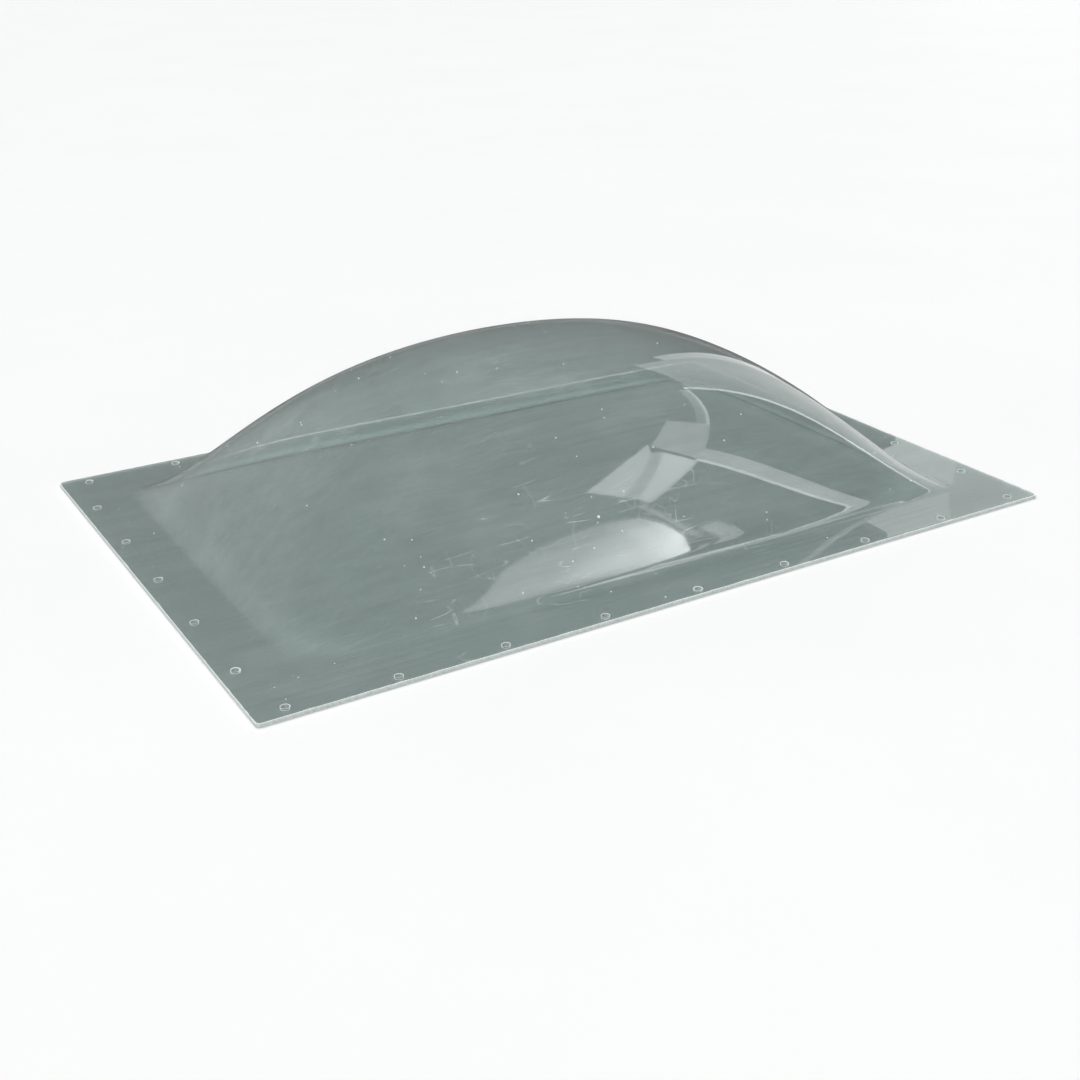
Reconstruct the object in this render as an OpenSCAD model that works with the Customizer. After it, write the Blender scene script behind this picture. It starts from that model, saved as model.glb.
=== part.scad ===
// Roof skylight dome: one clear sheet with a blown rectangular dome and a flat
// flange that is screwed down round a roof opening.
// Origin at the centre of the flange's underside, X along the long side, Z up.

/* [Sheet] */
// Thickness of the sheet in the flange
sheet_t = 3; // [2:0.5:8]
// Thickness left at the crown, where blowing has stretched the sheet
crown_t = 2.3; // [1.5:0.1:8]

/* [Dome] */
// Length of the dome where it leaves the flange
dome_l = 568; // [300:1:1200]
// Width of the dome where it leaves the flange
dome_w = 367; // [200:1:900]
// Rise of the crown above the top of the flange
dome_rise = 127; // [40:1:250]
// How far the dome keeps its height towards the two ends
fullness_l = 0.50; // [0:0.01:0.9]
// How far the dome keeps its height towards the two long sides
fullness_w = 0.72; // [0:0.01:0.9]
// Reach of the rolled edge to each side of the dome's base line
roll_reach = 4; // [2:0.5:10]

/* [Flange] */
// Border of the flange past each end of the dome
border_end = 46.2; // [35:0.1:120]
// Border of the flange past each long side of the dome
border_side = 45.1; // [35:0.1:120]
// Radius of the four outer corners
corner_r = 3; // [1:0.5:10]

/* [Screw holes] */
// Diameter of every screw hole
hole_d = 5.5; // [3:0.5:8]
// Corner holes, distance in from the short edges
corner_hole_in_x = 22.5; // [12:0.5:30]
// Corner holes, distance in from the long edges
corner_hole_in_y = 11; // [8:0.5:30]
// Number of holes along each long side, between the corner holes
side_holes = 7; // [3:2:15]
// Long side holes, distance in from the long edge
side_hole_in = 8; // [6:0.5:25]
// Long side holes, distance of the first and last from the short edges
side_row_start = 97.7; // [60:0.1:140]
// Number of holes along each short side, between the corner holes
end_holes = 5; // [3:2:9]
// Short side holes, distance in from the short edge
end_hole_in = 12.7; // [6:0.1:25]
// Short side holes, distance of the first and last from the long edges
end_row_start = 70.6; // [50:0.1:100]

/* [Surface steps] */
// Facets along the dome, between its rolled edges
span_steps_l = 36; // [12:2:44]
// Facets across the dome, between its rolled edges
span_steps_w = 26; // [12:2:34]
// Facets across each rolled edge
roll_steps = 4; // [2:1:6]

/* [Hidden] */

flange_l = dome_l + 2 * border_end;
flange_w = dome_w + 2 * border_side;
// Half sizes of the rectangle where the rolled edge runs out into the flat flange
blown_x = dome_l / 2 + roll_reach;
blown_y = dome_w / 2 + roll_reach;
through = 1;
corner_fn = 48;
hole_fn = 48;

// One direction's share of the dome's height: a parabola over -1 to 1 that is
// blended down to a level end a little past 1, at half + roll_reach.
function blend_band(half) = pow(1 + roll_reach / half, 2) - 1;
function share(s, band) = let (q = 1 - s * s)
    q >= band ? q : pow(q + band, 2) / (4 * band);
function share_slope(s, band) = let (q = 1 - s * s)
    -2 * s * (q >= band ? 1 : (q + band) / (2 * band));

// The dome stays fuller than a plain parabola towards its ends and sides.
function fuller(u, v) = 1 + fullness_l * u * u + fullness_w * v * v;

// Height of the outer surface above the flange, with its two slopes
function outer_point(x, y) =
    let (a = dome_l / 2, b = dome_w / 2, u = x / a, v = y / b,
         band_u = blend_band(a), band_v = blend_band(b),
         su = share(u, band_u), sv = share(v, band_v), full = fuller(u, v))
    [dome_rise * su * sv * full,
     dome_rise / a * sv * (share_slope(u, band_u) * full + su * 2 * fullness_l * u),
     dome_rise / b * su * (share_slope(v, band_v) * full + sv * 2 * fullness_w * v)];

// The sheet thins evenly with its height, and is measured square to the surface.
function sheet_at(h) = sheet_t - (sheet_t - crown_t) * h / dome_rise;
function inner_point(x, y, o) =
    let (n = [-o[1], -o[2], 1] / norm([o[1], o[2], 1]))
    [x, y, sheet_t + o[0]] - sheet_at(o[0]) * n;

// Stations over one direction: close ones over both rolled edges, even ones between
function stations(half, steps) =
    let (roll = 2 * roll_reach / roll_steps, from = half + roll_reach,
         flat_half = half - roll_reach, even = 2 * flat_half / steps)
    [for (i = [0 : roll_steps - 1]) -from + i * roll,
     for (i = [0 : steps]) -flat_half + i * even,
     for (i = [1 : roll_steps]) flat_half + i * roll];

// Flat plate with true round corners, centred on the origin
module round_cornered(l, w, r) {
    square([l - 2 * r, w], center = true);
    square([l, w - 2 * r], center = true);
    for (sx = [-1, 1], sy = [-1, 1])
        translate([sx * (l / 2 - r), sy * (w / 2 - r)])
            circle(r = r, $fn = corner_fn);
}

module hole_at(x, y) {
    translate([x, y, -through])
        cylinder(d = hole_d, h = sheet_t + 2 * through, $fn = hole_fn);
}

module screw_holes() {
    side_pitch = (flange_l - 2 * side_row_start) / (side_holes - 1);
    end_pitch = (flange_w - 2 * end_row_start) / (end_holes - 1);
    for (sx = [-1, 1], sy = [-1, 1])
        hole_at(sx * (flange_l / 2 - corner_hole_in_x),
                sy * (flange_w / 2 - corner_hole_in_y));
    for (side = [-1, 1], i = [0 : side_holes - 1])
        hole_at(-flange_l / 2 + side_row_start + i * side_pitch,
                side * (flange_w / 2 - side_hole_in));
    for (end = [-1, 1], i = [0 : end_holes - 1])
        hole_at(end * (flange_l / 2 - end_hole_in),
                -flange_w / 2 + end_row_start + i * end_pitch);
}

module flange() {
    difference() {
        linear_extrude(sheet_t)
            difference() {
                round_cornered(flange_l, flange_w, corner_r);
                square([2 * blown_x, 2 * blown_y], center = true);
            }
        screw_holes();
    }
}

// The blown part: a closed shell whose rim meets the flange face to face
module dome() {
    xs = stations(dome_l / 2, span_steps_l);
    ys = stations(dome_w / 2, span_steps_w);
    nx = len(xs);
    ny = len(ys);
    grid = [for (x = xs, y = ys) [x, y, outer_point(x, y)]];
    outer = [for (g = grid) [g[0], g[1], sheet_t + g[2][0]]];
    inner = [for (g = grid) inner_point(g[0], g[1], g[2])];
    skin = nx * ny;
    // Each cell is two triangles, split on the diagonal that runs round the crown.
    cells = [for (i = [0 : nx - 2], j = [0 : ny - 2])
        let (p = i * ny + j, q = p + ny,
             along = (i - nx / 2 + 1) * (j - ny / 2 + 1) > 0)
        each along ? [[p, p + 1, q], [p + 1, q + 1, q]]
                   : [[p, p + 1, q + 1], [p, q + 1, q]]];
    rim = [for (j = [0 : ny - 2]) j,
           for (i = [0 : nx - 2]) i * ny + ny - 1,
           for (j = [ny - 1 : -1 : 1]) (nx - 1) * ny + j,
           for (i = [nx - 1 : -1 : 1]) i * ny];
    walls = [for (k = [0 : len(rim) - 1])
        let (p = rim[k], q = rim[(k + 1) % len(rim)])
        each [[q, p, p + skin], [q, p + skin, q + skin]]];
    polyhedron(
        points = concat(outer, inner),
        faces = concat(cells, [for (c = cells) [c[2], c[1], c[0]] + [skin, skin, skin]], walls),
        convexity = 4);
}

module dome_sheet() {
    color("#8b9d95", 0.6) {
        flange();
        dome();
    }
}

dome_sheet();
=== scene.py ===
# Roof skylight dome: one blown, tinted sheet with a drilled flange, on a pale studio floor
import math
import bpy
from mathutils import Matrix, Vector


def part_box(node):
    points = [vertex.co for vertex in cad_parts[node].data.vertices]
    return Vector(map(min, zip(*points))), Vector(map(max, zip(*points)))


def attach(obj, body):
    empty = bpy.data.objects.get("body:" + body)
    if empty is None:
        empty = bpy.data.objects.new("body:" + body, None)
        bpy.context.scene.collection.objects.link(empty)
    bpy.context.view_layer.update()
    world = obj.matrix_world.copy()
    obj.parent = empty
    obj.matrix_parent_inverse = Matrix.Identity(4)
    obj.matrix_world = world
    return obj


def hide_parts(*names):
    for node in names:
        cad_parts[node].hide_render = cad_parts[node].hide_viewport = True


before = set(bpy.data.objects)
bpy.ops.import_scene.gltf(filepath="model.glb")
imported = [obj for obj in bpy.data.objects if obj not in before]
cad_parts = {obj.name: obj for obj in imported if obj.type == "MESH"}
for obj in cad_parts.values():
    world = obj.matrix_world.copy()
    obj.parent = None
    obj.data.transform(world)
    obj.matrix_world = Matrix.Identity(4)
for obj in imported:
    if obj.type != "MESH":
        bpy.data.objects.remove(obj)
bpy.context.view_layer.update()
sheetNode = "dome_sheet"
noiseMiddle = 0.5    # a noise texture swings about this value
halfStep = 0.5       # between two counts of the faces that a ray has passed
low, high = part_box(sheetNode)
print("frame loaded, part is", [round(v, 4) for v in high - low])


class Number:
    # one value in a node tree, so that a formula reads as arithmetic
    def __init__(self, tree, socket):
        self.tree = tree
        self.socket = socket

    def math(self, operation, *others, flip=False):
        node = self.tree.nodes.new("ShaderNodeMath")
        node.operation = operation
        items = (self, *others)
        if flip:
            items = items[::-1]
        for slot, item in zip(node.inputs, items):
            feed(self.tree, slot, item)
        return Number(self.tree, node.outputs[0])

    def __add__(self, other):
        return self.math("ADD", other)

    def __sub__(self, other):
        return self.math("SUBTRACT", other)

    def __rsub__(self, other):
        return self.math("SUBTRACT", other, flip=True)

    def __mul__(self, other):
        return self.math("MULTIPLY", other)

    def __truediv__(self, other):
        return self.math("DIVIDE", other)

    __radd__ = __add__
    __rmul__ = __mul__


def feed(tree, slot, item):
    # links a socket or a Number to an input, or sets the input's own value
    if isinstance(item, Number):
        item = item.socket
    if isinstance(item, bpy.types.NodeSocket):
        tree.links.new(item, slot)
    else:
        slot.default_value = item


def addNode(tree, kind, settings=None, **inputs):
    # a node with its settings, and inputs given by name with _ for a space
    node = tree.nodes.new(kind)
    for name, value in (settings or {}).items():
        setattr(node, name, value)
    for name, item in inputs.items():
        wanted = name.replace("_", " ")
        slot = next(s for s in node.inputs if s.name == wanted and s.enabled)
        feed(tree, slot, item)
    return node


def joined(tree, *pieces):
    node = tree.nodes.new("GeometryNodeJoinGeometry")
    for piece in pieces:
        tree.links.new(piece, node.inputs[0])
    return node.outputs[0]


def vector(tree, x, y, z):
    return addNode(tree, "ShaderNodeCombineXYZ", X=x, Y=y, Z=z).outputs[0]


sheetShape = {
    "Border End": 0.0462,         # flange past the dome's ends
    "Border Side": 0.0451,        # flange past its long sides
    "Sheet Thickness": 0.003,
    "Crown Thickness": 0.0023,    # blowing thins the sheet
    "Fullness Long": 0.50,
    "Fullness Wide": 0.72,
    "Roll Reach": 0.004,          # rolled edge, to each side of the base line
    "Corner Radius": 0.003,
    "Hole Radius": 0.00275,
    "Hole Land": 0.0017,          # ring of fine mesh round a hole, for its wear
    "Edge Land": 0.0014,          # the same along the sawn edge
    "Corner Hole In X": 0.0225,
    "Corner Hole In Y": 0.011,
    "Side Holes": 7,
    "Side Hole In": 0.008,
    "Side Row Start": 0.0977,
    "End Holes": 5,
    "End Hole In": 0.0127,
    "End Row Start": 0.0706,
    "Cells Long": 190,
    "Cells Wide": 130,
    "Hole Steps": 32,
}
wholeInputs = ("Side Holes", "End Holes", "Cells Long", "Cells Wide", "Hole Steps")
sheetFinish = {
    "endCrowding": 0.74,      # how far the mesh gathers at the rolled edges
    "cornerSteps": 8,
    "mergeReach": 0.00002,
    "edgeBevel": 0.00028,     # knocked-off corner of every sawn and drilled edge
    "bevelSteps": 2,          # one strip takes the sheet's look and one the edge's
    "bevelOver": math.radians(60),
    "sharpOver": math.radians(28),
    "openFaces": 1.0,         # an edge with one face is open
    "openSlack": 0.1,
    "rimShare": 0.05,         # a point is on a rim when more of its edges than this are open
}


def blownSheetTree(sheetMaterial, edgeMaterial):
    tree = bpy.data.node_groups.new("blownSheet", "GeometryNodeTree")
    tree.interface.new_socket("Geometry", in_out="INPUT", socket_type="NodeSocketGeometry")
    for name in ["Length", "Width", "Height", *sheetShape]:
        kind = "NodeSocketInt" if name in wholeInputs else "NodeSocketFloat"
        tree.interface.new_socket(name, in_out="INPUT", socket_type=kind)
    tree.interface.new_socket("Geometry", in_out="OUTPUT", socket_type="NodeSocketGeometry")
    inlet = tree.nodes.new("NodeGroupInput")
    outlet = tree.nodes.new("NodeGroupOutput")
    size = {s.name: Number(tree, s) for s in inlet.outputs if s.name}

    halfDomeX = size["Length"] * 0.5 - size["Border End"]
    halfDomeY = size["Width"] * 0.5 - size["Border Side"]
    rise = size["Height"] - size["Sheet Thickness"]
    blownX = halfDomeX + size["Roll Reach"]
    blownY = halfDomeY + size["Roll Reach"]

    # Flat blank of the dome, with its mesh gathered at the rolled edges
    grid = addNode(tree, "GeometryNodeMeshGrid", Size_X=2.0, Size_Y=2.0,
                   Vertices_X=size["Cells Long"] + 1, Vertices_Y=size["Cells Wide"] + 1)
    place = addNode(tree, "ShaderNodeSeparateXYZ",
                    Vector=tree.nodes.new("GeometryNodeInputPosition").outputs[0])

    def gathered(socket, half):
        # evenly spaced points, crowded along a sine towards both ends
        s = Number(tree, socket)
        crowd = sheetFinish["endCrowding"]
        return half * (s * (1 - crowd) + (s * (math.pi / 2)).math("SINE") * crowd)

    blank = addNode(tree, "GeometryNodeSetPosition", Geometry=grid.outputs["Mesh"],
                    Position=vector(tree, gathered(place.outputs[0], blownX),
                                    gathered(place.outputs[1], blownY), 0.0)).outputs[0]
    neighbours = tree.nodes.new("GeometryNodeInputMeshEdgeNeighbors")
    openEdge = Number(tree, neighbours.outputs[0]).math("COMPARE", sheetFinish["openFaces"],
                                                        sheetFinish["openSlack"])
    domeLine = addNode(tree, "GeometryNodeMeshToCurve", Mesh=blank, Selection=openEdge).outputs[0]

    def outline(inset):
        box = addNode(tree, "GeometryNodeCurvePrimitiveQuadrilateral",
                      Width=size["Length"] - 2 * inset, Height=size["Width"] - 2 * inset)
        return addNode(tree, "GeometryNodeFilletCurve", {"mode": "POLY"}, Curve=box.outputs[0],
                       Count=sheetFinish["cornerSteps"],
                       Radius=size["Corner Radius"]).outputs[0]

    # Screw holes stand on the points of three plain grids: corners, long rows, short rows
    def rows(spanX, spanY, countX, countY):
        return addNode(tree, "GeometryNodeMeshGrid", Size_X=spanX, Size_Y=spanY,
                       Vertices_X=countX, Vertices_Y=countY).outputs["Mesh"]

    holePoints = joined(
        tree,
        rows(size["Length"] - 2 * size["Corner Hole In X"],
             size["Width"] - 2 * size["Corner Hole In Y"], 2, 2),
        rows(size["Length"] - 2 * size["Side Row Start"],
             size["Width"] - 2 * size["Side Hole In"], size["Side Holes"], 2),
        rows(size["Length"] - 2 * size["End Hole In"],
             size["Width"] - 2 * size["End Row Start"], 2, size["End Holes"]))

    def circles(radius):
        ring = addNode(tree, "GeometryNodeCurvePrimitiveCircle", {"mode": "RADIUS"},
                       Resolution=size["Hole Steps"], Radius=radius)
        stood = addNode(tree, "GeometryNodeInstanceOnPoints", Points=holePoints,
                        Instance=ring.outputs[0])
        return addNode(tree, "GeometryNodeRealizeInstances", Geometry=stood.outputs[0]).outputs[0]

    def filled(*curves):
        return addNode(tree, "GeometryNodeFillCurve", {"mode": "TRIANGLES"},
                       Curve=joined(tree, *curves)).outputs[0]

    holeLine = circles(size["Hole Radius"])
    landLine = circles(size["Hole Radius"] + size["Hole Land"])
    sawnLine = outline(0.0)
    insideLine = outline(size["Edge Land"])
    flat = joined(tree, blank, filled(landLine, holeLine), filled(sawnLine, insideLine),
                  filled(insideLine, landLine, domeLine))
    flat = addNode(tree, "GeometryNodeMergeByDistance", Geometry=flat,
                   Distance=sheetFinish["mergeReach"]).outputs[0]
    rimEdges = addNode(tree, "GeometryNodeFieldOnDomain", {"data_type": "FLOAT", "domain": "EDGE"},
                       Value=openEdge)
    rimPoints = Number(tree, rimEdges.outputs[0]).math("GREATER_THAN", sheetFinish["rimShare"])
    worn = addNode(tree, "GeometryNodeStoreNamedAttribute",
                   {"data_type": "FLOAT", "domain": "POINT"},
                   Geometry=flat, Name="rimWear", Value=rimPoints).outputs[0]

    # Two shares of the rise, one along and one across, each rolled level at the base line
    def share(socket, half):
        s = Number(tree, socket) / half
        band = (1.0 + size["Roll Reach"] / half).math("POWER", 2.0) - 1.0
        q = (1.0 - s * s).math("MAXIMUM", band * -1.0)
        short = band - q.math("MINIMUM", band)
        return s, q + short * short / (4.0 * band)

    where = addNode(tree, "ShaderNodeSeparateXYZ",
                    Vector=tree.nodes.new("GeometryNodeInputPosition").outputs[0])
    u, shareU = share(where.outputs[0], halfDomeX)
    v, shareV = share(where.outputs[1], halfDomeY)
    fuller = 1.0 + size["Fullness Long"] * u * u + size["Fullness Wide"] * v * v
    climb = shareU * shareV * fuller
    outer = addNode(tree, "GeometryNodeSetPosition", Geometry=worn,
                    Offset=vector(tree, 0.0, 0.0, size["Sheet Thickness"] + rise * climb))

    # Keep each point's way out and its share of the rise, then sink a second skin along the one,
    # thinned by the other, and wall the rims
    kept = tree.nodes.new("GeometryNodeCaptureAttribute")
    kept.domain = "POINT"
    kept.capture_items.new("VECTOR", "wayOut")
    kept.capture_items.new("FLOAT", "climbed")
    tree.links.new(outer.outputs[0], kept.inputs[0])
    tree.links.new(tree.nodes.new("GeometryNodeInputNormal").outputs[0], kept.inputs["wayOut"])
    risen = addNode(tree, "ShaderNodeSeparateXYZ",
                    Vector=tree.nodes.new("GeometryNodeInputPosition").outputs[0])
    climbed = (Number(tree, risen.outputs[2]) - size["Sheet Thickness"]) / rise
    feed(tree, kept.inputs["climbed"], climbed)
    thinned = size["Sheet Thickness"] - (size["Sheet Thickness"] - size["Crown Thickness"]) \
        * Number(tree, kept.outputs["climbed"])
    sunk = addNode(tree, "ShaderNodeVectorMath", {"operation": "SCALE"},
                   Vector=kept.outputs["wayOut"], Scale=thinned * -1.0).outputs[0]
    outerSkin = addNode(tree, "GeometryNodeStoreNamedAttribute",
                        {"data_type": "FLOAT", "domain": "FACE"},
                        Geometry=kept.outputs[0], Name="outside", Value=1.0).outputs[0]
    walls = addNode(tree, "GeometryNodeExtrudeMesh", {"mode": "FACES"},
                    Mesh=kept.outputs[0], Offset_Scale=0.0, Individual=False)
    inner = addNode(tree, "GeometryNodeSetPosition", Geometry=walls.outputs["Mesh"],
                    Selection=walls.outputs["Top"], Offset=sunk).outputs[0]
    inner = addNode(tree, "GeometryNodeStoreNamedAttribute",
                    {"data_type": "BOOLEAN", "domain": "FACE"}, Geometry=inner,
                    Name="sawn", Value=walls.outputs["Side"]).outputs[0]
    inner = addNode(tree, "GeometryNodeFlipFaces", Mesh=inner).outputs[0]
    whole = joined(tree, outerSkin, inner)
    whole = addNode(tree, "GeometryNodeMergeByDistance", Geometry=whole,
                    Distance=sheetFinish["mergeReach"]).outputs[0]
    whole = addNode(tree, "GeometryNodeSetShadeSmooth", Geometry=whole,
                    Shade_Smooth=True).outputs[0]
    whole = addNode(tree, "GeometryNodeRealizeInstances", Geometry=whole).outputs[0]
    whole = addNode(tree, "GeometryNodeSetMaterial", Geometry=whole,
                    Material=sheetMaterial).outputs[0]
    sawn = addNode(tree, "GeometryNodeInputNamedAttribute", {"data_type": "BOOLEAN"}, Name="sawn")
    whole = addNode(tree, "GeometryNodeSetMaterial", Geometry=whole,
                    Selection=next(s for s in sawn.outputs if s.enabled and s.name == "Attribute"),
                    Material=edgeMaterial).outputs[0]
    tree.links.new(whole, outlet.inputs[0])
    return tree


def makeSheet(sheetMaterial, edgeMaterial):
    raw = bpy.data.objects.new("sheetBlank", bpy.data.meshes.new("sheetBlank"))
    bpy.context.scene.collection.objects.link(raw)
    tree = blownSheetTree(sheetMaterial, edgeMaterial)
    shaped = raw.modifiers.new("blownSheet", "NODES")
    shaped.node_group = tree
    span = high - low
    values = {"Length": span.x, "Width": span.y, "Height": span.z, **sheetShape}
    for item in tree.interface.items_tree:
        if item.in_out == "INPUT" and item.name in values:
            shaped[item.identifier] = values[item.name]
    eased = raw.modifiers.new("edgeBevel", "BEVEL")
    eased.width = sheetFinish["edgeBevel"]
    eased.segments = sheetFinish["bevelSteps"]
    eased.limit_method = "ANGLE"
    eased.angle_limit = sheetFinish["bevelOver"]
    graph = bpy.context.evaluated_depsgraph_get()
    mesh = bpy.data.meshes.new_from_object(raw.evaluated_get(graph))
    mesh.name = "tintedDome"
    mesh.materials.pop(index=0)   # the node tree leaves an empty slot before its two
    mesh.set_sharp_from_angle(angle=sheetFinish["sharpOver"])
    bpy.data.objects.remove(raw)
    sheet = bpy.data.objects.new("tinted_dome", mesh)
    bpy.context.scene.collection.objects.link(sheet)
    triangles = sum(len(f.vertices) - 2 for f in mesh.polygons)
    print("sheet made,", triangles, "triangles,", len(mesh.materials), "materials")
    return sheet


tintLook = {
    "tint": (0.477, 0.543, 0.529, 1.0),        # light kept by one pass through the flange
    "crownTint": (0.472, 0.537, 0.523, 1.0),   # and through the thinner crown
    "deepPaintedLightTint": (0.84, 0.90, 0.885, 1.0),      # painted light: a paler tint for the flange where the dome covers it
    "nearDepth": 1.0,           # faces passed up to where the tint starts to ease
    "deepDepth": 4.0,           # and where it is the deep one
    "coveredPaintedGlow": 0.34,        # the covered flange gathers a little light
    "footLow": 0.0015,          # and a painted glow on the far foot, seen through the dome
    "footTop": 0.0110,
    "footCore": 0.5,            # share of its height up to where it is at its brightest
    "footPaintedGlow": 0.18,
    "shade": (0.355, 0.405, 0.396),   # what the whole sheet leaves of the lamps' light
    "rollLow": 0.0035,          # the rolled foot gathers light on the floor inside it
    "rollHigh": 0.0150,
    "rollCore": 0.35,
    "rollGain": 0.14,
    "clearness": 0.86,          # the rest is a faint milky scatter
    "ior": 1.49,
    "pale": (0.80, 0.85, 0.83, 1.0),  # where the surface is scuffed or dusty
    "hazePaling": 0.10,
    "scratchPaling": 0.20,
    "chipPaling": 0.75,
    "chipReach": 0.42,          # width of the flaked ring, as a share of the fine mesh at a rim
    "streakDepth": 0.12,        # how far the wiping streaks lighten the tint
    "blotchDepth": 0.03,
    "blotchScale": 5.0,
    "clearRoughness": 0.012,
    "hazeRoughness": 0.03,      # added where the surface is clouded, and so on
    "scratchRoughness": 0.25,
    "chipRoughness": 0.3,
    "dustRoughness": 0.4,
    "paintedGlowColor": (0.90, 0.96, 0.94),
    "paintedGlowStrength": 0.55,    # painted glow, in place of light that dust and scratches throw back
    "scratchPaintedGlow": 0.28,
    "hazePaintedGlow": 0.03,
    "chipPaintedGlow": 1.0,
    "waveHeight": 0.00010,      # slow waves left by blowing
}
wearLook = {
    # inputs of the wear group as the sheet uses them
    "Dust Scale": 112.0,
    "Dust Radius": 0.075,       # in cells of the dust pattern
    "Scratch Reach": 0.46,      # higher keeps more of the surface free of scratches
    "Haze Reach": 0.50,         # and of clouding
    "Zone Place": (-0.085, -0.165, 0.035),
    "Zone Spread": (0.14, 0.040, 0.055),
}


def newMaterial(name):
    material = bpy.data.materials.new(name)
    material.use_nodes = True
    tree = material.node_tree
    tree.nodes.clear()
    outlet = tree.nodes.new("ShaderNodeOutputMaterial")
    return material, tree, outlet


def newGroup(name, wanted, given):
    # an empty shader node group: its tree, its inputs by name, and its output node
    tree = bpy.data.node_groups.new(name, "ShaderNodeTree")
    for label, kind in wanted.items():
        tree.interface.new_socket(label, in_out="INPUT", socket_type=kind)
    for label, kind in given.items():
        tree.interface.new_socket(label, in_out="OUTPUT", socket_type=kind)
    inlet = tree.nodes.new("NodeGroupInput")
    outlet = tree.nodes.new("NodeGroupOutput")
    return tree, {s.name: Number(tree, s) for s in inlet.outputs if s.name}, outlet


def placeGroup(tree, group, values):
    node = tree.nodes.new("ShaderNodeGroup")
    node.node_tree = group
    for name, value in values.items():
        feed(tree, node.inputs[name], value)
    return {s.name: Number(tree, s) for s in node.outputs}


def noise(tree, place, scale=1.0, detail=2.0, roughness=0.5, distortion=0.0):
    node = addNode(tree, "ShaderNodeTexNoise", Vector=place, Scale=scale, Detail=detail,
                   Roughness=roughness, Distortion=distortion)
    return Number(tree, node.outputs[0])


def ramp(tree, value, start, end, first=0.0, last=1.0):
    node = addNode(tree, "ShaderNodeMapRange", {"interpolation_type": "SMOOTHSTEP"},
                   Value=value, From_Min=start, From_Max=end, To_Min=first, To_Max=last)
    return Number(tree, node.outputs[0])


def stretched(tree, place, scale, turn=0.0):
    return addNode(tree, "ShaderNodeMapping", Vector=place, Scale=scale,
                   Rotation=(0.0, 0.0, math.radians(turn))).outputs[0]


def colorScaled(tree, color, amount):
    node = addNode(tree, "ShaderNodeVectorMath", {"operation": "SCALE"}, Scale=amount)
    feed(tree, node.inputs[0], color)
    return node.outputs[0]


def colorMixed(tree, amount, first, second):
    node = addNode(tree, "ShaderNodeMix", {"data_type": "RGBA"}, Factor=amount, A=first, B=second)
    return next(s for s in node.outputs if s.enabled)


def hairlines(tree, place, width, scale=1.0, distortion=0.0):
    # thin curved lines where a noise crosses its middle value
    wandering = noise(tree, place, scale, detail=1.0, distortion=distortion)
    off = (wandering - noiseMiddle).math("ABSOLUTE")
    return ramp(tree, off, 0.0, width, 1.0, 0.0)


wearPattern = {
    "zoneBand": (0.35, 1.3),           # shares of the zone's spread where it fades and where it ends
    "leastSpeck": 0.25,                # smallest speck, as a share of the dust radius
    "speckPower": 3.0,                 # high, so that most specks are tiny
    "speckOffZone": 0.75,
    "speckInZone": 0.5,                # added in the zone
    "patchScale": 14.0,
    "patchZone": 0.35,                 # what the zone adds to the scratched patches
    "patchBand": (0.10, 0.28),         # past the scratch reach
    "longStretch": (9.0, 70.0, 70.0),  # low along a scratch, high across it
    "longTurn": 12.0,                  # degrees
    "longWidth": 0.012,
    "crossStretch": (60.0, 12.0, 40.0),
    "crossTurn": -35.0,
    "crossWidth": 0.010,
    "crossShare": 0.7,
    "curlScale": 34.0,
    "curlWidth": 0.006,
    "curlTwist": 0.8,
    "curlShare": 0.18,
    "gapScale": 45.0,                  # gaps along a scratch
    "gapBand": (0.48, 0.62),
    "cloudStretch": (9.0, 16.0, 16.0),
    "cloudZone": 0.22,
    "cloudBand": 0.22,
    "grainScale": 420.0,
    "grainBand": (0.42, 0.66),
    "grainShare": 0.25,
    "fineStretch": (3.0, 420.0, 420.0),     # streaks run along the sheet, a little turned
    "fineTurn": 0.8,
    "fineShare": 0.65,
    "coarseStretch": (2.5, 120.0, 120.0),
    "coarseTurn": -0.6,
    "streakBand": (0.36, 0.64),
    "waveStretch": (9.0, 13.0, 13.0),
}


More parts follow.
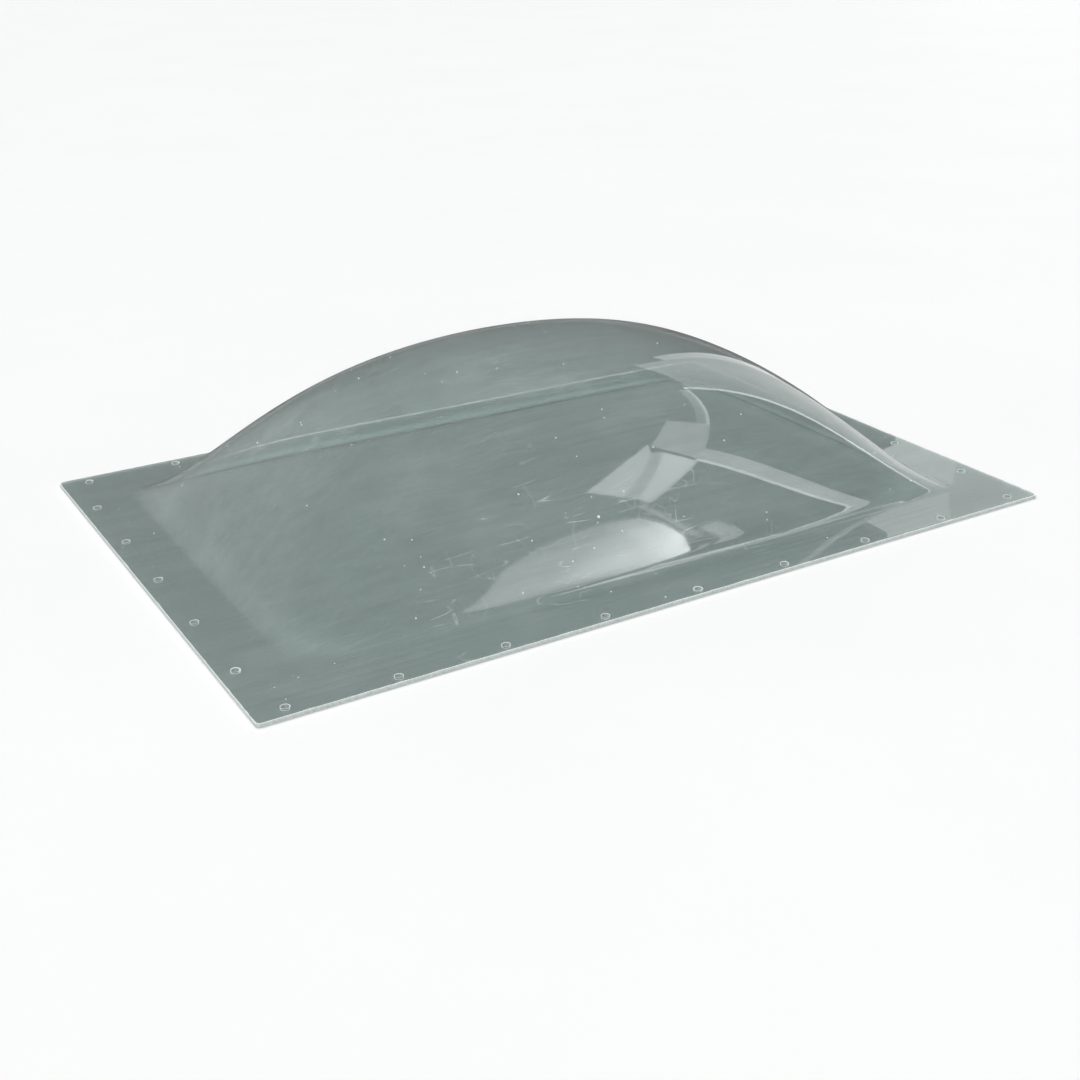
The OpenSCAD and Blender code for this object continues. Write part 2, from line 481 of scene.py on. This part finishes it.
def wearGroup():
    # dust, scratches, clouding and wiping streaks of a sheet that has lain about
    number = "NodeSocketFloat"
    tree, given, outlet = newGroup(
        "plasticWear",
        {"Place": "NodeSocketVector", "Dust Scale": number, "Dust Radius": number,
         "Scratch Reach": number, "Haze Reach": number,
         "Zone Place": "NodeSocketVector", "Zone Spread": "NodeSocketVector"},
        {"Dust": number, "Scratches": number, "Haze": number, "Streaks": number, "Relief": number})
    place = given["Place"].socket
    look = wearPattern

    # The handled zone is an ellipsoid; scratches and clouding gather in it
    away = addNode(tree, "ShaderNodeVectorMath", {"operation": "SUBTRACT"})
    feed(tree, away.inputs[0], place)
    feed(tree, away.inputs[1], given["Zone Place"])
    share = addNode(tree, "ShaderNodeVectorMath", {"operation": "DIVIDE"})
    feed(tree, share.inputs[0], away.outputs[0])
    feed(tree, share.inputs[1], given["Zone Spread"])
    length = addNode(tree, "ShaderNodeVectorMath", {"operation": "LENGTH"})
    feed(tree, length.inputs[0], share.outputs[0])
    zone = ramp(tree, Number(tree, length.outputs["Value"]), *look["zoneBand"], 1.0, 0.0)

    # Each cell draws its own speck, most of them tiny
    cells = addNode(tree, "ShaderNodeTexVoronoi", Vector=place, Scale=given["Dust Scale"])
    drawn = addNode(tree, "ShaderNodeSeparateColor", Color=cells.outputs["Color"]).outputs[0]
    reach = given["Dust Radius"] \
        * (look["leastSpeck"] + Number(tree, drawn).math("POWER", look["speckPower"])) \
        * (look["speckOffZone"] + look["speckInZone"] * zone)
    dust = (reach - Number(tree, cells.outputs["Distance"])).math("GREATER_THAN", 0.0)

    # Scratches keep to patches, and each one is broken up along its way
    patches = noise(tree, place, look["patchScale"], roughness=0.6)
    patchStart, patchEnd = look["patchBand"]
    scratched = ramp(tree, patches + zone * look["patchZone"],
                     given["Scratch Reach"] + patchStart, given["Scratch Reach"] + patchEnd)
    longOnes = hairlines(tree, stretched(tree, place, look["longStretch"], look["longTurn"]),
                         look["longWidth"])
    crossOnes = hairlines(tree, stretched(tree, place, look["crossStretch"], look["crossTurn"]),
                          look["crossWidth"])
    curls = hairlines(tree, place, look["curlWidth"], look["curlScale"], look["curlTwist"])
    broken = ramp(tree, noise(tree, place, look["gapScale"]), *look["gapBand"])
    scratches = longOnes + crossOnes * look["crossShare"] + curls * look["curlShare"]
    scratches = scratches * scratched * broken

    cloud = noise(tree, stretched(tree, place, look["cloudStretch"]), detail=3.0, roughness=0.6)
    grain = ramp(tree, noise(tree, place, look["grainScale"]), *look["grainBand"])
    clouded = ramp(tree, cloud + zone * look["cloudZone"], given["Haze Reach"],
                   given["Haze Reach"] + look["cloudBand"])
    haze = clouded * (1.0 - look["grainShare"] + look["grainShare"] * grain)

    fine = noise(tree, stretched(tree, place, look["fineStretch"], look["fineTurn"]),
                 detail=3.0, roughness=0.6)
    coarse = noise(tree, stretched(tree, place, look["coarseStretch"], look["coarseTurn"]))
    streaks = ramp(tree, fine * look["fineShare"] + coarse * (1.0 - look["fineShare"]),
                   *look["streakBand"])

    relief = noise(tree, stretched(tree, place, look["waveStretch"]), detail=1.0)
    for name, value in {"Dust": dust, "Scratches": scratches.math("MINIMUM", 1.0),
                        "Haze": haze, "Streaks": streaks, "Relief": relief}.items():
        feed(tree, outlet.inputs[name], value)
    return tree


chipPattern = {
    "flakeScale": 700.0,
    "biteScale": 90.0,       # now and then a deeper bite
    "biteBand": (0.5, 0.7),
    "leastDepth": 0.35,      # as shares of the reach
    "flakeDepth": 0.9,
    "biteDepth": 0.6,
    "fade": 0.10,
}


def chippingGroup():
    # flaked rim of a sawn or drilled edge: fades in towards the rim, broken up by a noise
    number = "NodeSocketFloat"
    tree, given, outlet = newGroup(
        "chippedRim",
        {"Place": "NodeSocketVector", "Rim": number, "Reach": number},
        {"Chips": number})
    place = given["Place"].socket
    look = chipPattern
    flakes = noise(tree, place, look["flakeScale"], roughness=0.6)
    bites = ramp(tree, noise(tree, place, look["biteScale"], detail=1.0), *look["biteBand"])
    depth = look["leastDepth"] + look["flakeDepth"] * flakes + look["biteDepth"] * bites
    start = 1.0 - given["Reach"] * depth
    chips = ramp(tree, given["Rim"], start, start + look["fade"])
    feed(tree, outlet.inputs["Chips"], chips)
    return tree


wear = wearGroup()
chipping = chippingGroup()


def tintedSheetLook():
    material, tree, outlet = newMaterial("tintedSheet")
    look = tintLook
    place = tree.nodes.new("ShaderNodeTexCoord").outputs["Object"]
    outside = addNode(tree, "ShaderNodeAttribute", {"attribute_name": "outside"})
    outside = Number(tree, outside.outputs["Fac"])
    rim = addNode(tree, "ShaderNodeAttribute", {"attribute_name": "rimWear"}).outputs["Fac"]
    marks = placeGroup(tree, wear, {"Place": place, **wearLook})
    chips = placeGroup(tree, chipping, {"Place": place, "Rim": rim, "Reach": look["chipReach"]})
    chips = chips["Chips"]
    dust = marks["Dust"] * outside
    scratches = marks["Scratches"] * outside

    blotches = noise(tree, place, look["blotchScale"])
    tone = 1.0 + look["streakDepth"] * (marks["Streaks"] - noiseMiddle) \
        + look["blotchDepth"] * (blotches - noiseMiddle)
    paled = look["hazePaling"] * marks["Haze"] + look["scratchPaling"] * scratches \
        + look["chipPaling"] * chips + dust
    up = Number(tree, addNode(tree, "ShaderNodeSeparateXYZ", Vector=place).outputs[2])
    thinned = (up - low.z) / (high.z - low.z)
    tinted = colorMixed(tree, thinned, look["tint"], look["crownTint"])

    # Painted light: the tint turns paler for rays that have passed faces, so that two layers look
    # about as light as one does
    rays = tree.nodes.new("ShaderNodeLightPath")
    passed = Number(tree, rays.outputs["Transmission Depth"])
    deep = ramp(tree, passed, look["nearDepth"], look["deepDepth"])
    tinted = colorMixed(tree, deep, tinted, look["deepPaintedLightTint"])
    color = colorMixed(tree, paled.math("MINIMUM", 1.0),
                       colorScaled(tree, tinted, tone), look["pale"])
    roughness = look["clearRoughness"] + look["hazeRoughness"] * marks["Haze"] * outside \
        + look["scratchRoughness"] * scratches + look["chipRoughness"] * chips \
        + look["dustRoughness"] * dust
    # Painted light: an emitted glow on dust, scratches, clouding and chipped rims, and on the
    # covered flange and the far foot
    paintedGlow = dust + look["scratchPaintedGlow"] * scratches \
        + look["hazePaintedGlow"] * marks["Haze"] * outside + look["chipPaintedGlow"] * chips \
        + look["coveredPaintedGlow"] * passed.math("GREATER_THAN", look["deepDepth"] - halfStep)
    rise = up - low.z - sheetShape["Sheet Thickness"]
    # Painted light: a pale glow along the far foot where it is seen through the dome
    foot = ramp(tree, rise, 0.0, look["footLow"]) \
        * ramp(tree, rise, look["footTop"] * look["footCore"], look["footTop"], 1.0, 0.0)
    covered = passed.math("GREATER_THAN", look["nearDepth"] + halfStep)
    paintedGlow = paintedGlow + look["footPaintedGlow"] * foot * covered
    relief = addNode(tree, "ShaderNodeBump", Height=marks["Relief"],
                     Distance=look["waveHeight"], Strength=1.0)
    body = addNode(tree, "ShaderNodeBsdfPrincipled", Base_Color=color, Roughness=roughness,
                   IOR=look["ior"], Transmission_Weight=look["clearness"],
                   Normal=relief.outputs[0],
                   Emission_Color=colorScaled(tree, look["paintedGlowColor"], paintedGlow),
                   Emission_Strength=look["paintedGlowStrength"])

    # Lamps and bounced light pass each face straight, so the floor under the sheet is lit
    middle = (look["rollLow"] + look["rollHigh"]) / 2
    roll = ramp(tree, (rise - middle).math("ABSOLUTE"), middle * look["rollCore"],
                (look["rollHigh"] - look["rollLow"]) / 2, 1.0 + look["rollGain"], 1.0)
    shade = [math.sqrt(v) for v in look["shade"]]
    clear = addNode(tree, "ShaderNodeBsdfTransparent", Color=colorScaled(tree, shade, roll))
    shown = body.outputs[0]
    for kind in ("Is Diffuse Ray", "Is Shadow Ray"):
        mix = tree.nodes.new("ShaderNodeMixShader")
        tree.links.new(rays.outputs[kind], mix.inputs[0])
        tree.links.new(shown, mix.inputs[1])
        tree.links.new(clear.outputs[0], mix.inputs[2])
        shown = mix.outputs[0]
    tree.links.new(shown, outlet.inputs[0])
    return material


edgeLook = {
    "paintedArrisHighlight": (0.93, 0.96, 0.95, 1.0),    # painted highlight along the knocked-off corners
    "flatBand": (0.40, 0.47),            # from mid thickness, to where the painted arris highlight starts
    "sawn": (0.66, 0.71, 0.69, 1.0),
    "shaded": (0.46, 0.51, 0.49, 1.0),   # bottom of a saw mark or a chip
    "drilledWallShade": (0.42, 0.47, 0.45, 1.0),  # painted shade on the walls inside the drilled holes
    "inFromEdge": 0.0010,                # anything further in than this is a drilled wall
    # painted glow of the sawn edges
    "glow": (0.92, 1.0, 0.97, 1.0),
    "deepEdgePaintedGlow": (1.0, 0.70, 0.74, 1.0),  # painted glow colour, as it has to be to look pale through two tinted layers
    "edgePaintedGlowStrength": 1.0,                 # painted glow on the edges, in place of light that runs inside the sheet and leaves there
    "paintedGlowOut": 0.07,                     # what of it shows from the outside
    "paintedGlowIn": 0.25,                      # and through the flange
    "paintedGlowDeep": 5.0,                     # and through the dome, brighter still
    "dullLoss": 0.6,                     # painted glow taken off where saw marks are
    "drilledLoss": 0.8,
    "roughness": 0.42,
    "hazeRoughness": 0.2,
    "markSmoothing": 0.12,
    "sawPitch": 900.0,                   # saw marks to the metre
    "sawStretch": 0.12,                  # their pitch up the edge, as a share of that along it
    "markBand": (0.35, 0.62),
    "markDepth": 0.00012,
    "markDull": 0.35,
    "scoreAt": 0.42,                     # share of the thickness where the cut was met
    "scoreHalf": 0.12,
    "scoreCore": 0.4,
    "scoreWander": 0.12,
    "wanderScale": 120.0,
    "scoreDull": 0.55,
    "scoreSink": 0.5,
    "hazeDull": 0.15,
    "reliefStrength": 0.8,
}
edgeWear = {
    "Dust Scale": 150.0,
    "Dust Radius": 0.10,
    "Scratch Reach": 0.40,
    "Haze Reach": 0.40,
    "Zone Place": (0.0, 0.0, 0.0),
    "Zone Spread": (1.0, 1.0, 1.0),
}


def sawnEdgeLook():
    material, tree, outlet = newMaterial("sawnEdge")
    look = edgeLook
    place = tree.nodes.new("ShaderNodeTexCoord").outputs["Object"]
    marks = placeGroup(tree, wear, {"Place": place, **edgeWear})
    pitch = look["sawPitch"]
    cuts = noise(tree, stretched(tree, place, (pitch, pitch, pitch * look["sawStretch"])))
    spot = addNode(tree, "ShaderNodeSeparateXYZ", Vector=place)
    up = (Number(tree, spot.outputs[2]) - low.z) / sheetShape["Sheet Thickness"]
    wander = look["scoreWander"] * (noise(tree, place, look["wanderScale"]) - noiseMiddle)
    off = (up - look["scoreAt"] + wander).math("ABSOLUTE")
    score = ramp(tree, off, look["scoreHalf"] * look["scoreCore"], look["scoreHalf"], 1.0, 0.0)
    dull = look["markDull"] * ramp(tree, cuts, *look["markBand"], 1.0, 0.0) \
        + look["scoreDull"] * score + look["hazeDull"] * marks["Haze"]
    dull = dull.math("MINIMUM", 1.0)
    color = colorMixed(tree, dull, look["sawn"], look["shaded"])
    inX = (high.x - look["inFromEdge"]) - Number(tree, spot.outputs[0]).math("ABSOLUTE")
    inY = (high.y - look["inFromEdge"]) - Number(tree, spot.outputs[1]).math("ABSOLUTE")
    inside = inX.math("MINIMUM", inY).math("GREATER_THAN", 0.0)
    # Painted highlight: the edge turns near white towards its top and bottom corners
    flat = ramp(tree, (up - 0.5).math("ABSOLUTE"), *look["flatBand"], 1.0, 0.0)
    color = colorMixed(tree, flat, look["paintedArrisHighlight"], color)
    # Painted shade: the walls of the holes are darker than the sawn edge
    drilledWallShade = inside * flat
    color = colorMixed(tree, drilledWallShade, color, look["drilledWallShade"])
    roughness = look["roughness"] + look["hazeRoughness"] * marks["Haze"] \
        - look["markSmoothing"] * cuts
    behind = Number(tree, tree.nodes.new("ShaderNodeNewGeometry").outputs["Backfacing"])
    passed = Number(tree, tree.nodes.new("ShaderNodeLightPath").outputs["Transmission Depth"])
    deep = ramp(tree, passed, tintLook["nearDepth"], tintLook["deepDepth"])
    # Painted light: the sawn edges glow, faintly from outside, more through the flange and most
    # through the dome
    shown = look["paintedGlowOut"] + behind * (look["paintedGlowIn"] - look["paintedGlowOut"]
                                        + (look["paintedGlowDeep"] - look["paintedGlowIn"]) * deep)
    glow = colorMixed(tree, deep, look["glow"], look["deepEdgePaintedGlow"])
    shown = shown * (1.0 - look["dullLoss"] * dull) * (1.0 - look["drilledLoss"] * drilledWallShade)
    glow = colorScaled(tree, glow, shown)
    relief = addNode(tree, "ShaderNodeBump", Height=cuts - score * look["scoreSink"],
                     Distance=look["markDepth"], Strength=look["reliefStrength"])
    body = addNode(tree, "ShaderNodeBsdfPrincipled", Base_Color=color, Roughness=roughness,
                   IOR=tintLook["ior"], Normal=relief.outputs[0], Emission_Color=glow,
                   Emission_Strength=look["edgePaintedGlowStrength"])
    tree.links.new(body.outputs[0], outlet.inputs[0])
    return material


sheetMaterial = tintedSheetLook()
edgeMaterial = sawnEdgeLook()
print("materials made:", sheetMaterial.name, "and", edgeMaterial.name)

sheet = makeSheet(sheetMaterial, edgeMaterial)
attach(sheet, "root")
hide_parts(sheetNode)

floorSettings = {
    "half": 14.0,
    "drop": 0.0004,
    "color": (0.90, 0.90, 0.90, 1.0),
    "worn": (0.86, 0.865, 0.865, 1.0),
    "roughness": 0.75,
    "specular": 0.1,
    "blotchScale": 3.0,
    "blotchDetail": 4.0,
    "blotchRoughness": 0.6,
}


def makeFloor():
    half = floorSettings["half"]
    z = low.z - floorSettings["drop"]
    mesh = bpy.data.meshes.new("floor")
    mesh.from_pydata([(-half, -half, z), (half, -half, z), (half, half, z), (-half, half, z)],
                     [], [(0, 1, 2, 3)])
    floor = bpy.data.objects.new("floor", mesh)
    bpy.context.scene.collection.objects.link(floor)
    material, tree, outlet = newMaterial("paleFloor")
    place = tree.nodes.new("ShaderNodeTexCoord").outputs["Object"]
    tone = noise(tree, place, floorSettings["blotchScale"], floorSettings["blotchDetail"],
                 floorSettings["blotchRoughness"])
    color = colorMixed(tree, tone, floorSettings["color"], floorSettings["worn"])
    body = addNode(tree, "ShaderNodeBsdfPrincipled", Base_Color=color,
                   Roughness=floorSettings["roughness"],
                   Specular_IOR_Level=floorSettings["specular"])
    tree.links.new(body.outputs[0], outlet.inputs[0])
    mesh.materials.append(material)
    floor.visible_glossy = False   # the sheet mirrors dim surroundings, as on a dark ground


makeFloor()
print("floor made")

cameraSettings = {
    "place": (-0.5675, -0.9678, 0.4604),
    "heading": math.radians(30.463),    # from +Y towards +X
    "down": math.radians(24.178),
    "roll": math.radians(-0.916),
    "lens": 49.283,
    "sensor": 36.0,
    "clipStart": 0.01,
}


def makeCamera():
    data = bpy.data.cameras.new("camera")
    data.lens = cameraSettings["lens"]
    data.sensor_width = cameraSettings["sensor"]
    data.clip_start = cameraSettings["clipStart"]
    camera = bpy.data.objects.new("camera", data)
    bpy.context.scene.collection.objects.link(camera)
    turn = Matrix.Rotation(-cameraSettings["heading"], 4, "Z") \
        @ Matrix.Rotation(math.pi / 2 - cameraSettings["down"], 4, "X") \
        @ Matrix.Rotation(cameraSettings["roll"], 4, "Z")
    camera.matrix_world = Matrix.Translation(cameraSettings["place"]) @ turn
    bpy.context.scene.camera = camera


makeCamera()
print("camera made")

# Dim surroundings with a paler patch behind the dome, a very soft key light over it, and soft
# panels standing on two sides like a workshop's openings, for the sheet to mirror
skySettings = {
    "color": (0.985, 1.0, 0.995),
    "shown": 0.93,                        # what the camera itself sees past the floor
    "dim": 0.19,                          # and what lights the sheet and is mirrored in it
    "bright": 0.44,
    "brightHeading": math.radians(-20),   # from +Y towards +X
    "brightHeight": math.radians(15),
    "dimBeyond": math.cos(math.radians(31)),
    "brightWithin": math.cos(math.radians(8)),
}
keySettings = {
    "heading": math.radians(-110),
    "height": math.radians(72),
    "away": 3.0,
    "strength": 3.0,
    "spread": math.radians(90),
}
panelSettings = {
    "east": 4.8,        # where the two rows of panels stand
    "south": -6.8,
    "stagger": 0.005,   # each panel stands this much nearer than the one before
}
softPanels = {
    # name: side, then each corner's place along that side, its height and its brightness
    "tallPanel": ("east", (1.0, -1.5, 0.87), (3.3, -1.5, 0.87), (3.3, 4.85, 1.15),
                  (1.25, 4.85, 1.15)),
    "tallPanelSide": ("east", (3.3, -1.5, 0.87), (4.0, -1.5, 0.9), (4.0, 4.85, 0.8),
                      (3.3, 4.85, 1.15)),
    "tallPanelFrame": ("east", (0.84, -1.5, 3.4), (1.02, -1.5, 3.4), (1.27, 5.0, 3.4),
                       (1.10, 5.0, 3.4)),
    "palePanel": ("east", (3.96, -0.3, 1.2), (4.4, -0.3, 1.2), (4.4, 3.6, 1.1), (3.96, 3.6, 1.1)),
    "beamPanel": ("east", (-2.4, 4.9, 0.9), (1.0, 4.98, 1.4), (1.0, 5.22, 1.4), (-2.4, 5.16, 0.9)),
    "beamFrame": ("east", (-2.4, 4.82, 3.6), (1.0, 4.90, 3.6), (1.0, 4.98, 3.6), (-2.4, 4.9, 3.6)),
    "gablePane": ("east", (-4.2, 4.6, 2.2), (-1.9, 4.85, 2.0), (-1.9, 6.0, 2.0), (-3.9, 6.1, 2.3)),
    "postPanel": ("east", (-4.16, 0.6, 3.3), (-3.5, 0.6, 3.1), (-3.5, 4.65, 2.3),
                  (-4.16, 4.65, 2.4)),
    "postFrame": ("east", (-4.28, 0.6, 4.8), (-4.14, 0.6, 4.8), (-4.14, 4.6, 4.8),
                  (-4.28, 4.6, 4.8)),
    "upperPane": ("east", (-6.69, 5.14, 4.0), (-4.3, 5.85, 3.6), (-3.76, 6.19, 3.4),
                  (-7.05, 6.82, 3.6)),
    "barPane": ("east", (-6.55, 4.66, 2.5), (-4.17, 5.54, 2.3), (-4.3, 5.85, 2.3),
                (-6.69, 5.14, 2.5)),
    "lowerPane": ("east", (-6.5, 4.25, 3.8), (-4.28, 4.52, 4.6), (-4.17, 5.54, 4.4),
                  (-6.55, 4.66, 4.0)),
    "cornerStrip": ("east", (-6.75, 2.5, 2.4), (-6.62, 2.5, 2.4), (-6.62, 4.4, 2.6),
                    (-6.75, 4.4, 2.6)),
    "cornerPatch": ("east", (-6.5, 2.3, 3.0), (-6.15, 2.3, 2.2), (-6.15, 2.75, 2.0),
                    (-6.5, 2.75, 2.8)),
    "doorPanel": ("south", (4.2, 2.2, 7.0), (4.45, 2.2, 10.0), (4.58, 2.35, 12.0),
                  (4.66, 2.7, 11.0), (4.66, 3.3, 4.8), (4.55, 3.8, 2.6), (4.2, 4.1, 1.5)),
    "doorPanelFar": ("south", (2.9, 2.2, 4.0), (4.2, 2.2, 7.0), (4.2, 4.1, 1.5), (2.9, 4.5, 1.9)),
}


def heading(turn, height):
    # the way to a light that stands at this turn from +Y and this height over the floor
    level = math.cos(height)
    return Vector((math.sin(turn) * level, math.cos(turn) * level, math.sin(height)))


def makeSky():
    world = bpy.data.worlds.new("studio")
    world.use_nodes = True
    bpy.context.scene.world = world
    tree = world.node_tree
    back = next(n for n in tree.nodes if n.type == "BACKGROUND")
    near = addNode(tree, "ShaderNodeVectorMath", {"operation": "DOT_PRODUCT"})
    feed(tree, near.inputs[0], tree.nodes.new("ShaderNodeTexCoord").outputs["Generated"])
    feed(tree, near.inputs[1], heading(skySettings["brightHeading"], skySettings["brightHeight"]))
    glow = ramp(tree, near.outputs["Value"], skySettings["dimBeyond"], skySettings["brightWithin"],
                skySettings["dim"], skySettings["bright"])
    feed(tree, back.inputs["Color"], (*skySettings["color"], 1.0))
    seen = Number(tree, tree.nodes.new("ShaderNodeLightPath").outputs["Is Camera Ray"])
    feed(tree, back.inputs["Strength"], glow + (skySettings["shown"] - glow) * seen)


def makeKey():
    way = heading(keySettings["heading"], keySettings["height"])
    data = bpy.data.lights.new("keyLight", "SUN")
    data.energy = keySettings["strength"]
    data.angle = keySettings["spread"]
    lamp = bpy.data.objects.new("keyLight", data)
    bpy.context.scene.collection.objects.link(lamp)
    lamp.location = way * keySettings["away"]
    lamp.rotation_euler = (-way).to_track_quat("-Z", "Y").to_euler()
    lamp.visible_camera = False
    lamp.visible_glossy = False         # it lights, and the sheet doesn't mirror it
    lamp.visible_transmission = False


def makePanels():
    points = []
    glows = []
    faces = []
    for number, (side, *corners) in enumerate(softPanels.values()):
        stand = panelSettings[side]
        stand -= math.copysign(panelSettings["stagger"] * number, stand)
        faces.append(range(len(points), len(points) + len(corners)))
        for along, height, glow in corners:
            points.append((stand, along, height) if side == "east" else (along, stand, height))
            glows.append(glow)
    mesh = bpy.data.meshes.new("softPanels")
    mesh.from_pydata(points, [], faces)
    mesh.attributes.new("glow", "FLOAT", "POINT").data.foreach_set("value", glows)
    panels = bpy.data.objects.new("soft_panels", mesh)
    bpy.context.scene.collection.objects.link(panels)
    material, tree, outlet = newMaterial("panelGlow")
    glow = addNode(tree, "ShaderNodeAttribute", {"attribute_name": "glow"}).outputs["Fac"]
    lit = addNode(tree, "ShaderNodeEmission", Strength=glow)
    tree.links.new(lit.outputs[0], outlet.inputs[0])
    mesh.materials.append(material)
    panels.visible_camera = False
    panels.visible_diffuse = False   # the panels are there to be mirrored
    panels.visible_shadow = False


def makeLights():
    makeSky()
    makeKey()
    makePanels()
    bpy.context.scene.view_settings.view_transform = "Standard"


makeLights()
print("lights made, with", len(softPanels), "panels to mirror")
